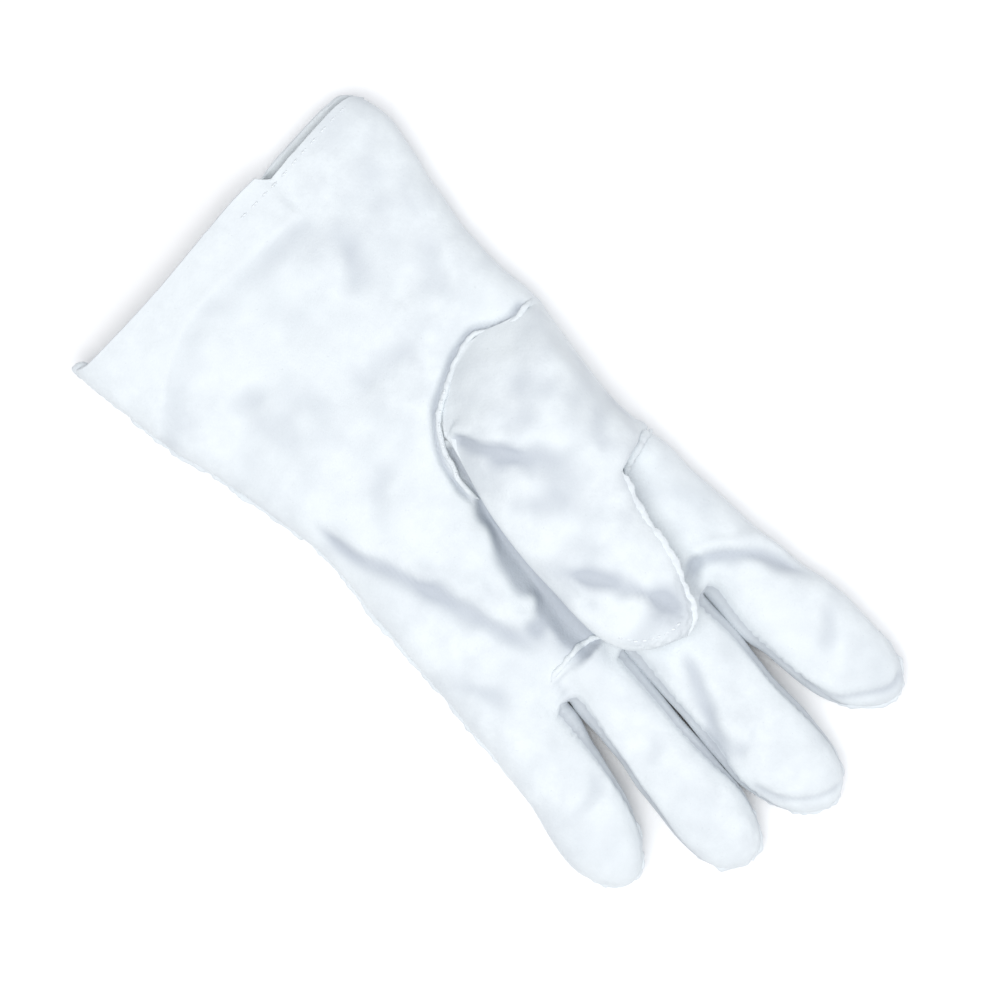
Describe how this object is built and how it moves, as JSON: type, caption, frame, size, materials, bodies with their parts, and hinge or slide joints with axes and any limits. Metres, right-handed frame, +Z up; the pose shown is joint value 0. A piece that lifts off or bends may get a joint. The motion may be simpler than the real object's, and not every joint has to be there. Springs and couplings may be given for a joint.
{
  "type": "beekeeping glove",
  "caption": "Left-hand leather beekeeping glove with a flared gauntlet cuff, hollow stitched fingers that flex at the knuckles and a wing thumb folded over the palm.",
  "frame": {"origin": "middle of the glove's footprint, on the surface it lies on", "axes": "+Y from the cuff to the fingertips, +Z up out of the palm, thumb on the -X side"},
  "size_m": [0.1586, 0.3318, 0.0424],
  "materials": {
    "front_leather": "soft matte bleached grain leather",
    "back_leather": "soft matte bleached grain leather",
    "fourchette_leather": "thin soft matte leather",
    "welt_leather": "rolled seam edges with raw cut lips",
    "hem_leather": "turned hem, flesh side slightly fuzzy",
    "thread": "off-white twisted sewing thread"
  },
  "bodies": {
    "hand": {"palm_panel": "front_leather", "back_panel": "back_leather", "middle_ring_front": "front_leather", "finger_base_welt": "welt_leather", "index_middle_fork": "fourchette_leather", "middle_ring_fork": "fourchette_leather", "ring_little_fork": "fourchette_leather", "thumb_wing": "front_leather", "wing_welt": "welt_leather", "wing_stitches": "thread", "web_seam": "welt_leather", "palm_side_seam": "welt_leather"},
    "cuff": {"cuff_front": "front_leather", "cuff_back": "back_leather", "cuff_hem_front": "hem_leather", "cuff_hem_back": "hem_leather", "cuff_side_seam": "welt_leather", "mouth_stitches": "thread"},
    "index_middle": {"index_middle_front": "front_leather", "index_middle_back": "back_leather", "index_inner_fourchette": "fourchette_leather"},
    "index_tip": {"index_tip_front": "front_leather", "index_tip_back": "back_leather", "index_tip_seam": "welt_leather"},
    "middle_middle": {"middle_middle_front": "front_leather", "middle_middle_back": "back_leather", "middle_thumbside_fourchette": "fourchette_leather", "middle_ringside_fourchette": "fourchette_leather"},
    "middle_tip": {"middle_tip_front": "front_leather", "middle_tip_back": "back_leather", "middle_tip_seam": "welt_leather"},
    "ring_middle": {"ring_middle_front": "front_leather", "ring_middle_back": "back_leather", "ring_middleside_fourchette": "fourchette_leather", "ring_littleside_fourchette": "fourchette_leather"},
    "ring_tip": {"ring_tip_front": "front_leather", "ring_tip_back": "back_leather", "ring_tip_seam": "welt_leather"},
    "little_middle": {"little_middle_front": "front_leather", "little_middle_back": "back_leather", "little_inner_fourchette": "fourchette_leather"},
    "little_tip": {"little_tip_front": "front_leather", "little_tip_back": "back_leather", "little_tip_seam": "welt_leather"},
    "thumb": {"thumb_outer_leather": "front_leather", "thumb_inner_leather": "back_leather", "thumb_side_welt": "welt_leather", "thumb_tip_stitches": "thread"}
  },
  "joints": [
    {"name": "wrist_fold", "type": "hinge", "parent": "hand", "child": "cuff", "pos_m": [0, -0.0705, 0.0241], "axis": [-1, 0, 0], "range_deg": [0, 75]},
    {"name": "thumb_fold", "type": "hinge", "parent": "hand", "child": "thumb", "pos_m": [-0.0264, -0.0118, 0.0419], "axis": [0.5619, -0.8272, 0], "range_deg": [0, 110]},
    {"name": "index_knuckle", "type": "hinge", "parent": "hand", "child": "index_middle", "pos_m": [-0.0529, 0.0985, 0.0241], "axis": [1, 0, 0], "range_deg": [0, 80]},
    {"name": "index_end_knuckle", "type": "hinge", "parent": "index_middle", "child": "index_tip", "pos_m": [-0.0545, 0.1245, 0.0238], "axis": [1, 0, 0], "range_deg": [0, 54]},
    {"name": "middle_knuckle", "type": "hinge", "parent": "hand", "child": "middle_middle", "pos_m": [-0.0138, 0.0965, 0.0241], "axis": [1, 0, 0], "range_deg": [0, 80]},
    {"name": "middle_end_knuckle", "type": "hinge", "parent": "middle_middle", "child": "middle_tip", "pos_m": [-0.012, 0.1245, 0.0241], "axis": [1, 0, 0], "range_deg": [0, 54]},
    {"name": "ring_knuckle", "type": "hinge", "parent": "hand", "child": "ring_middle", "pos_m": [0.0213, 0.0935, 0.0241], "axis": [1, 0, 0], "range_deg": [0, 80]},
    {"name": "ring_end_knuckle", "type": "hinge", "parent": "ring_middle", "child": "ring_tip", "pos_m": [0.0241, 0.1215, 0.0241], "axis": [1, 0, 0], "range_deg": [0, 54]},
    {"name": "little_knuckle", "type": "hinge", "parent": "hand", "child": "little_middle", "pos_m": [0.0552, 0.0875, 0.0241], "axis": [1, 0, 0], "range_deg": [0, 80]},
    {"name": "little_end_knuckle", "type": "hinge", "parent": "little_middle", "child": "little_tip", "pos_m": [0.0596, 0.1085, 0.0235], "axis": [1, 0, 0], "range_deg": [0, 54]}
  ],
  "couplings": [
    {"joint": "index_end_knuckle", "follows": "index_knuckle", "ratio": 0.675},
    {"joint": "middle_end_knuckle", "follows": "middle_knuckle", "ratio": 0.675},
    {"joint": "ring_end_knuckle", "follows": "ring_knuckle", "ratio": 0.675},
    {"joint": "little_end_knuckle", "follows": "little_knuckle", "ratio": 0.675}
  ]
}
